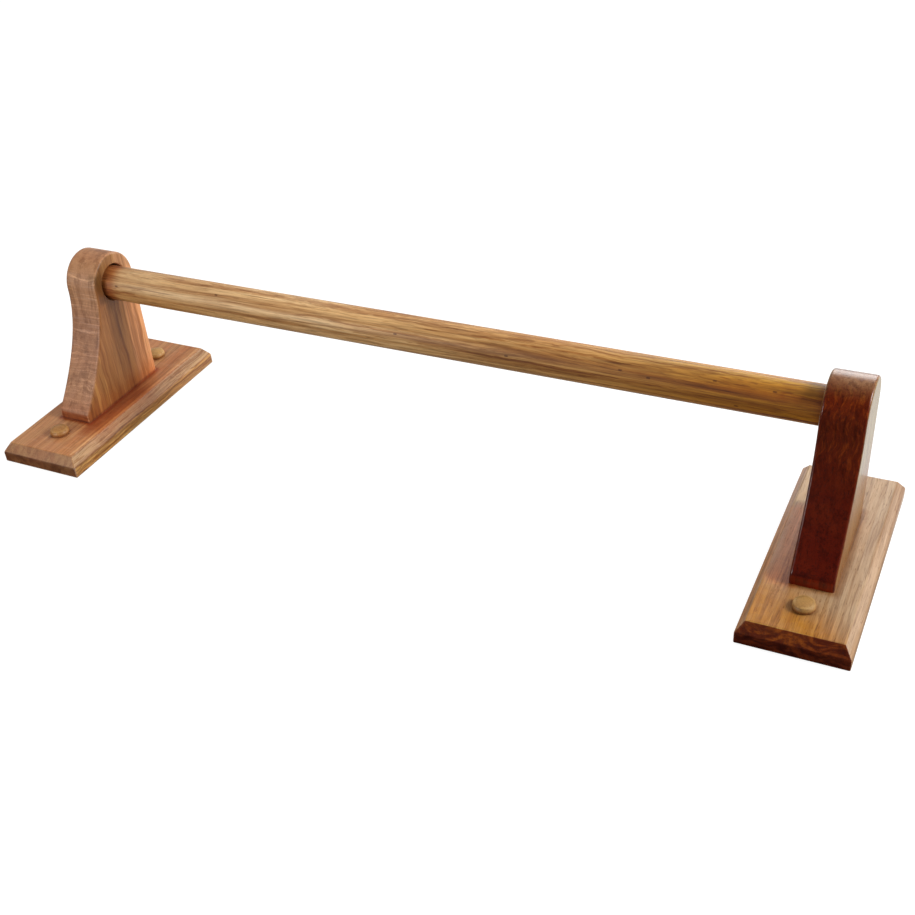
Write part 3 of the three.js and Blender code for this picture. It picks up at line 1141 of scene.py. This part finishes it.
right_plate_oak = wood(
    "light_plate_oak",
    centre=RIGHT,
    turn=(QUARTER, 0, 0),
    heart=(-0.06, 0.05, 0),
    look={
        "Late Wood": colour(172, 143, 110),
        "Early Wood": colour(147, 112, 77),
        "Patch": colour(167, 129, 88),
        "Streak": colour(122, 86, 52),
        "Pore": colour(94, 58, 34),
        "Ray": colour(206, 166, 122),
        "Ring Width": 0.0052,
        "Streaks": 0.5,
        "Threads": 0.25,
        "Pores": 0.7,
        "Rays": 0.1,
    },
    edge=colour(150, 92, 48),
    edge_share=0.4,
    roughness=0.42,
    shine=0.22,
    spots_and_light=[
        # Painted shade, with dark finish in the joint, round the foot of the arm
        ((0.7, 0.52, 0.34), around(RIGHT_FOOT, FOOT_HALF, 0.006)),
        # Painted red light reflected from the arm, in its shadow beside the foot
        ((1.3, 0.74, 0.46), around(BESIDE_RIGHT_FOOT, (0.004, 0.034, 0), 0.012)),
        # Painted shade and gathered finish round the buttons
        *button_finish_and_shade(1),
    ],
    stains=[
        # A golden corner at the lower left
        (
            (0.97, 0.6, 0.12),
            facing(OUT, 0.75, 0.95),
            past((-0.6, -0.8, 0), -0.137, -0.102),
            uneven(0.1),
        ),
        # Paler sides and side bevels, the inner ones warmer
        ((1.12, 1.12, 1.25), PLATE_SIDES_AND_BEVELS),
        ((1.3, 0.98, 0.72), PLATE_SIDES_AND_BEVELS, past(LEFTWARD, -0.25, -0.24)),
        # Dark red ends, partly end grain and partly painted shade: lighter at the left, mottled,
        # darkest end grain
        ((0.53, 0.15, 0.018), PLATE_ENDS_AND_BEVELS),
        ((1.25, 1.5, 1.4), facing((0, -0.71, 0.71), 0.85, 0.97), past(LEFTWARD, -0.3, -0.27)),
        ((0.42, 0.25, 0.28), PLATE_ENDS_AND_BEVELS, in_streaks((90, 170, 420), 0.36, 0.6, 0.02)),
        ((0.72, 0.54, 0.5), PLATE_ENDS),
    ],
)
button_wood = wood(
    "pale_button_wood",
    centre=ORIGIN,
    turn=ORIGIN,
    heart=(0.0, 0.3, 0),
    look={
        "Late Wood": colour(168, 126, 68),
        "Early Wood": colour(154, 110, 56),
        "Patch": colour(164, 124, 70),
        "Streak": colour(140, 92, 42),
        "Pore": colour(104, 70, 36),
        "Ray": colour(174, 136, 80),
        "Ring Width": 0.006,
        "Ring Depth": 0.3,
        "Streaks": 0.3,
        "Threads": 0.2,
        "Pores": 0.25,
        "Rays": 0.1,
    },
    edge=colour(204, 166, 108),
    edge_share=0.25,
    roughness=0.52,
    gloss=0.1,
    stains=[
        # Painted light makes the left upper button paler; the left lower one is browner
        ((1.35, 1.4, 1.5), past((-1, 1, 0), 0.25, 0.3)),
        ((1.04, 0.88, 0.78), past((-1, -1, 0), 0.25, 0.3)),
        # Painted shade at the foot of each rim, in the same tone on the tenon
        ((0.5, 0.3, 0.14), past(INWARD, -0.0182, -0.0158)),
    ],
)


def zinc():
    """Bright zinc plate with fine turning marks and a dull bloom."""
    material = bpy.data.materials.new("bright_zinc")
    material.use_nodes = True
    tree = material.node_tree
    shader = tree.nodes["Principled BSDF"]
    place = tree.nodes.new("ShaderNodeTexCoord").outputs["Object"]
    bloom = noise(tree, place, 900, 3, 0.6)
    marks = noise(tree, vectors(tree, "MULTIPLY", place, (60, 60, 9000)), 1, 2)
    grey = tint(tree, bloom, colour(196, 192, 180), colour(160, 160, 158))
    feed(tree, shader.inputs["Base Color"], grey)
    feed(tree, shader.inputs["Roughness"], sums(tree, "MULTIPLY_ADD", bloom, 0.3, 0.2))
    bump = tree.nodes.new("ShaderNodeBump")
    bump.inputs["Strength"].default_value = 0.2
    bump.inputs["Distance"].default_value = 0.0001
    feed(tree, bump.inputs["Height"], marks)
    feed(tree, shader.inputs["Normal"], bump.outputs[0])
    shader.inputs["Metallic"].default_value = 1
    return material


zinc_steel = zinc()

for side, sign, plate_finish, arm_finish in (
    ("left", -1, left_plate_oak, left_arm_oak),
    ("right", 1, right_plate_oak, right_arm_oak),
):
    wall_plate(side, sign, plate_finish)
    arm(side, sign, arm_finish)
    for place, up in zip(("lower", "upper"), ENDS):
        cover_button(side, sign, place, up, button_wood)
        arm_screw(side, sign, place, up, zinc_steel)
rail(rail_oak)


# Floor, light and camera

FLOOR_HALF = 6
IMAGE_PIXELS = 915
FOCAL_PIXELS = 1257.389
DROP_PIXELS = 40
CAMERA = (0.356804, -0.627929, 0.511115)
CAMERA_ROLL = math.radians(-4.811)
CAMERA_TILT = math.radians(53.699)
CAMERA_PAN = math.radians(28.035)


def floor():
    """A plain pale floor, dark in the finish's mirror before the bar and bright behind it."""
    bm = bmesh.new()
    bmesh.ops.create_grid(bm, x_segments=1, y_segments=1, size=FLOOR_HALF)
    piece = mesh_object(bm, "floor")
    material = bpy.data.materials.new("pale_floor")
    material.use_nodes = True
    tree = material.node_tree
    shader = tree.nodes["Principled BSDF"]
    shader.inputs["Roughness"].default_value = 0.9
    shader.inputs["Specular IOR Level"].default_value = 0
    shader.inputs["Emission Color"].default_value = (1, 1, 1, 1)
    path = tree.nodes.new("ShaderNodeLightPath")
    glossy = path.outputs["Is Glossy Ray"]
    plain = (0.25, 0.25, 0.25, 1)
    dark = (0.02, 0.02, 0.02, 1)
    feed(tree, shader.inputs["Base Color"], tint(tree, glossy, plain, dark))
    place = tree.nodes.new("ShaderNodeTexCoord").outputs["Object"]
    behind = rise(tree, dot(tree, place, UP), 0, 0.1)
    mirrored = sums(tree, "MULTIPLY", sums(tree, "MULTIPLY", glossy, behind), 1.05)
    seen = sums(tree, "MULTIPLY", path.outputs["Is Camera Ray"], 0.88)
    feed(tree, shader.inputs["Emission Strength"], sums(tree, "ADD", seen, mirrored))
    piece.data.materials.append(material)


def lamp(name, place, aim, size, watts):
    """A round soft lamp that looks at its aim."""
    light = bpy.data.lights.new(name, "AREA")
    light.shape = "DISK"
    light.size = size
    light.energy = watts
    holder = bpy.data.objects.new(name, light)
    holder.location = place
    holder.rotation_mode = "QUATERNION"
    holder.rotation_quaternion = (Vector(aim) - Vector(place)).to_track_quat("-Z", "Y")
    bpy.context.scene.collection.objects.link(holder)


def world():
    """A white room that is bright behind the bar and dim on the camera's side."""
    sky = bpy.data.worlds.new("white_room")
    bpy.context.scene.world = sky
    sky.use_nodes = True
    tree = sky.node_tree
    background = tree.nodes["Background"]
    background.inputs["Color"].default_value = (1, 1, 1, 1)
    towards = tree.nodes.new("ShaderNodeTexCoord").outputs["Generated"]
    back = rise(tree, dot(tree, towards, UP), -0.5, 0.9)
    sides = rise(tree, sums(tree, "ABSOLUTE", dot(tree, towards, ALONG)), 0, 0.9)
    glow = sums(tree, "MULTIPLY_ADD", back, 0.7, sums(tree, "MULTIPLY_ADD", sides, 0.3, 0.13))
    path = tree.nodes.new("ShaderNodeLightPath")
    mirrored = sums(tree, "MULTIPLY", back, 0.4)
    change = sums(tree, "SUBTRACT", mirrored, glow)
    glow = sums(tree, "ADD", glow, sums(tree, "MULTIPLY", path.outputs["Is Glossy Ray"], change))
    glow = sums(tree, "MAXIMUM", glow, path.outputs["Is Camera Ray"])
    feed(tree, background.inputs["Strength"], glow)


def camera():
    """The camera at the photograph's viewpoint, solved on the plates, the arms and the rail."""
    lens = bpy.data.cameras.new("view")
    lens.sensor_width = 36
    lens.lens = FOCAL_PIXELS / IMAGE_PIXELS * lens.sensor_width
    lens.shift_y = DROP_PIXELS / IMAGE_PIXELS
    lens.clip_start = 0.01
    holder = bpy.data.objects.new("view", lens)
    turn = Matrix.Rotation(CAMERA_PAN, 4, "Z") @ Matrix.Rotation(CAMERA_TILT, 4, "X")
    turn = turn @ Matrix.Rotation(CAMERA_ROLL, 4, "Z")
    holder.matrix_world = Matrix.Translation(Vector(CAMERA)) @ turn
    bpy.context.scene.collection.objects.link(holder)
    bpy.context.scene.camera = holder


floor()
world()
lamp("key", place=(1.25, 0.14, 0.85), aim=(-0.26, 0, 0.06), size=0.55, watts=18)
lamp("back", place=(0.16, 1.5, 0.64), aim=(0, 0, 0.03), size=0.9, watts=9.5)
lamp("left_front", place=(-0.48, -0.72, 0.3), aim=(-0.275, -0.05, 0.06), size=0.3, watts=3.3)
camera()
bpy.context.scene.view_settings.view_transform = "Standard"
